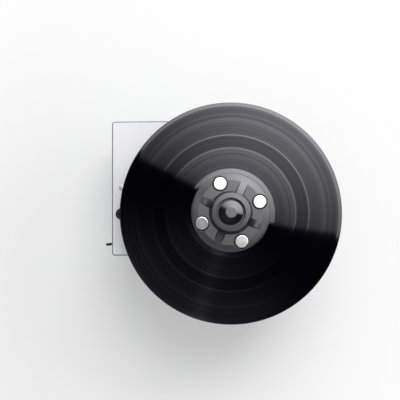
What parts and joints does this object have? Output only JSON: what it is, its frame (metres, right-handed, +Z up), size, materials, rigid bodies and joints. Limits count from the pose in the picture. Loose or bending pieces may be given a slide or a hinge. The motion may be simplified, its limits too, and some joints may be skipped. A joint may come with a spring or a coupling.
{
  "type": "record cleaning machine",
  "caption": "Compact vacuum record cleaning machine: square metal case, geared platter with a twelve-inch record, magnetic label clamp, toggle switches and suction arm socket.",
  "frame": {"origin": "on the standing surface, under the middle of the outline that the case, record and levers share", "axes": "+X to the right as the user stands in front, +Y to the rear panel, +Z up"},
  "size_m": [0.3343, 0.3016, 0.2402],
  "materials": {
    "acetal_white": "machined natural",
    "aluminium_cast": "as cast",
    "black_gloss": "polished",
    "black_plastic": "moulded, fine texture",
    "black_rubber": "matte",
    "brass_nickel": "nickelled",
    "bronze": "sintered, oiled",
    "case_steel": "pale grey satin powder coat",
    "chrome": "bright",
    "circuit_green": "solder mask",
    "clamp_grey": "mid grey, semi-matte",
    "copper_laminate": "laminated steel and copper",
    "hose_clear": "flexible, milky",
    "label_paper": "plain, uncoated",
    "magnet_nickel": "nickel plated",
    "motor_steel": "plated",
    "pad_rubber": "fine ribbed",
    "platter_acetal": "machined",
    "spindle_steel": "ground",
    "switch_red": "phenolic",
    "tank_plastic": "translucent natural",
    "top_aluminium": "fine-textured silver satin",
    "vinyl": "grooved, glossy",
    "zinc_steel": "zinc plated"
  },
  "bodies": {
    "case": {"case_wrap": "case_steel", "base_plate": "case_steel", "corner_posts": "aluminium_cast", "top_plate": "top_aluminium", "lid_brackets": "zinc_steel", "lid_screws": "zinc_steel", "foot_front_left": "black_rubber", "foot_front_right": "black_rubber", "foot_rear_left": "black_rubber", "foot_rear_right": "black_rubber", "rear_panel": "case_steel", "mains_inlet": "black_plastic", "inlet_pins": "brass_nickel", "rocker_frame": "black_plastic", "arm_socket": "black_plastic", "arm_seal": "black_rubber", "socket_nut": "zinc_steel", "waste_tank": "tank_plastic", "tank_gasket": "black_rubber", "tank_lid": "tank_plastic", "suction_hose": "hose_clear", "drain_outlet": "acetal_white", "air_duct": "hose_clear", "mount_ring": "black_rubber", "vacuum_frame": "aluminium_cast", "field_stator": "copper_laminate", "rotor_bearings": "chrome", "fan_housing": "motor_steel", "gearbox_case": "aluminium_cast", "gearbox_lid": "aluminium_cast", "idler_pin": "spindle_steel", "drive_motor": "motor_steel", "shaft_bushes": "bronze", "splash_collar": "black_plastic", "switch_bodies": "switch_red", "switch_nuts": "chrome", "control_board": "circuit_green"},
    "platter": {"platter_shaft": "spindle_steel", "output_gear": "acetal_white", "platter": "platter_acetal", "keeper_ring": "zinc_steel", "platter_pad": "pad_rubber"},
    "idler": {"idler_gear": "acetal_white"},
    "motor_rotor": {"motor_pinion": "bronze"},
    "record": {"record": "vinyl", "record_labels": "label_paper"},
    "clamp": {"clamp_body": "clamp_grey", "clamp_seal": "black_rubber", "clamp_magnets": "magnet_nickel", "clamp_knob": "black_gloss"},
    "vacuum_rotor": {"armature": "copper_laminate", "fan_impeller": "aluminium_cast"},
    "motor_toggle": {"motor_lever": "black_plastic"},
    "vacuum_toggle": {"vacuum_lever": "black_plastic"},
    "power_switch": {"power_rocker": "black_gloss"},
    "drain_cap": {"drain_cap": "black_rubber"}
  },
  "joints": [
    {"name": "platter_spin", "type": "hinge", "parent": "case", "child": "platter", "pos_m": [0.01635, 0, 0.2], "axis": [0, 0, 1], "continuous": true},
    {"name": "idler_spin", "type": "hinge", "parent": "case", "child": "idler", "pos_m": [0.04233, -0.015, 0.15], "axis": [0, 0, 1], "continuous": true},
    {"name": "motor_spin", "type": "hinge", "parent": "case", "child": "motor_rotor", "pos_m": [0.01869, -0.01917, 0.14], "axis": [0, 0, 1], "continuous": true},
    {"name": "record_lift", "type": "slide", "parent": "platter", "child": "record", "axis": [0, 0, 1], "range_m": [0, 0.03]},
    {"name": "clamp_lift", "type": "slide", "parent": "record", "child": "clamp", "axis": [0, 0, 1], "range_m": [0, 0.04]},
    {"name": "vacuum_spin", "type": "hinge", "parent": "case", "child": "vacuum_rotor", "pos_m": [0.03455, 0.0752, 0.06], "axis": [0, 0, 1], "continuous": true},
    {"name": "motor_switch", "type": "hinge", "parent": "case", "child": "motor_toggle", "pos_m": [-0.15495, -0.0437, 0.127], "axis": [0, 1, 0], "range_deg": [-14, 14]},
    {"name": "vacuum_switch", "type": "hinge", "parent": "case", "child": "vacuum_toggle", "pos_m": [-0.15495, -0.0437, 0.1], "axis": [0, 1, 0], "range_deg": [0, 28]},
    {"name": "power_switch_tilt", "type": "hinge", "parent": "case", "child": "power_switch", "pos_m": [-0.01845, 0.128, 0.084], "axis": [-1, 0, 0], "range_deg": [0, 18]},
    {"name": "drain_cap_pull", "type": "slide", "parent": "case", "child": "drain_cap", "axis": [0, 1, 0], "range_m": [0, 0.014]}
  ],
  "couplings": [
    {"joint": "idler_spin", "follows": "platter_spin", "ratio": -4},
    {"joint": "motor_spin", "follows": "platter_spin", "ratio": 16}
  ]
}
